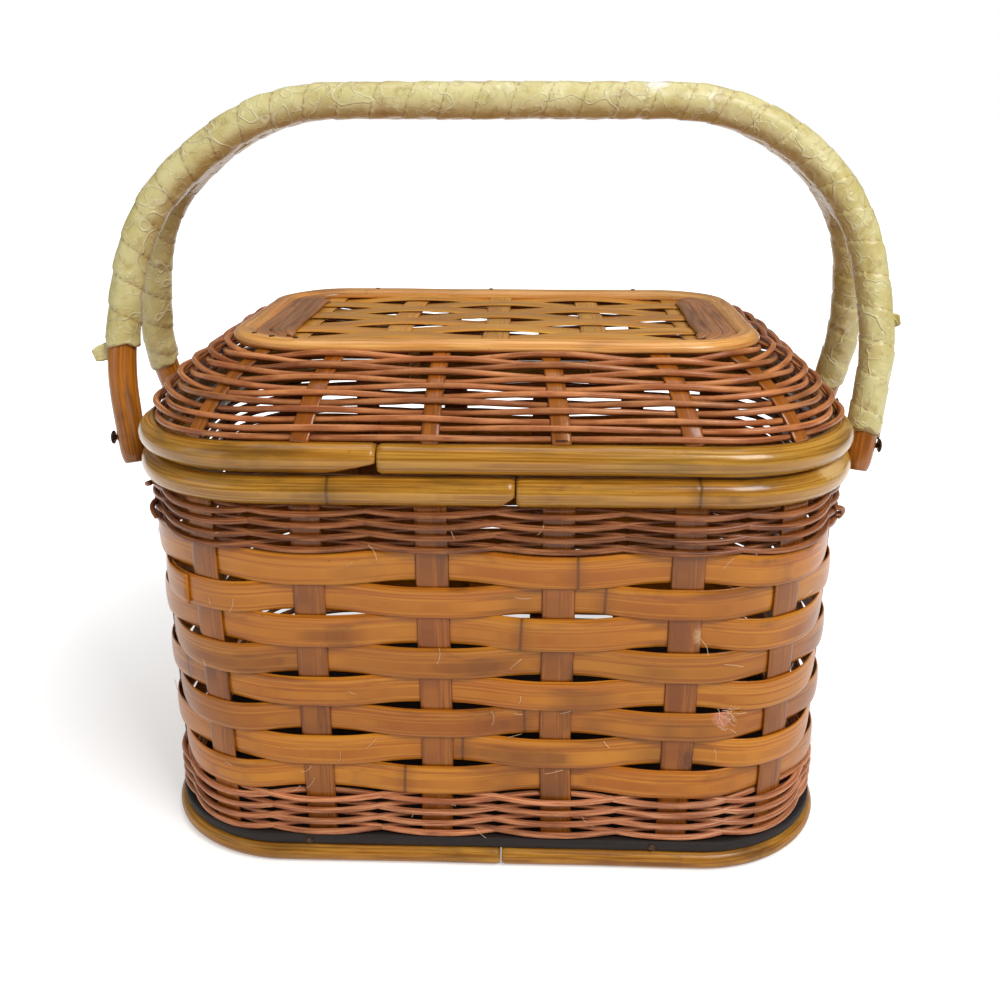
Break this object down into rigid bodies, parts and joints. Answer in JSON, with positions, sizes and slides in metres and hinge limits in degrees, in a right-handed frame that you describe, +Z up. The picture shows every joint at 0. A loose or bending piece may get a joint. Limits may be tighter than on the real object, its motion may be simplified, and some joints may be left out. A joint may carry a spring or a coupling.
{
  "type": "lidded rattan picnic basket",
  "caption": "Woven rattan picnic basket with a domed hinged lid and a rigid arched double handle bound in tape.",
  "frame": {"origin": "on the floor, under the middle of the foot ring", "axes": "+X to the right along the handle's arch, +Y from the front to the hinged back, +Z up"},
  "size_m": [0.5005, 0.3144, 0.4603],
  "materials": {
    "foot_cane": "varnished round cane, golden, scuffed",
    "board": "dark stained board, dull",
    "weavers": "varnished split bamboo, honey, glossy",
    "reed": "varnished round reed, copper to salmon",
    "rim_cane": "varnished round cane, amber, glossy with scratches",
    "handle_cane": "varnished round cane, brown with dark streaks",
    "tape": "cream masking tape, wrinkled, shiny on the ridges",
    "nails": "dark oxidised steel",
    "binding": "split cane binding, satin",
    "crown_cane": "varnished half-round cane, amber",
    "splits": "flattened cane splits, grey-brown, satin",
    "panel": "varnished flat bamboo strips, honey",
    "lid_reed": "varnished round reed and flat stakes"
  },
  "bodies": {
    "body": {"foot_ring": "foot_cane", "base_board": "board", "board_nails": "nails", "body_wall": "weavers", "body_rim": "rim_cane", "front_handle_pole": "handle_cane", "rear_handle_pole": "handle_cane", "handle_tape": "tape", "handle_nails": "nails", "hinge_loops": "binding"},
    "lid": {"lid_rim": "rim_cane", "lid_wall": "lid_reed", "crown_ring": "crown_cane", "end_splits": "splits", "crown_nails": "nails", "top_panel": "panel"}
  },
  "joints": [
    {"name": "lid_hinge", "type": "hinge", "parent": "body", "child": "lid", "pos_m": [0, 0.147, 0.2625], "axis": [-1, 0, 0], "range_deg": [0, 28]}
  ]
}
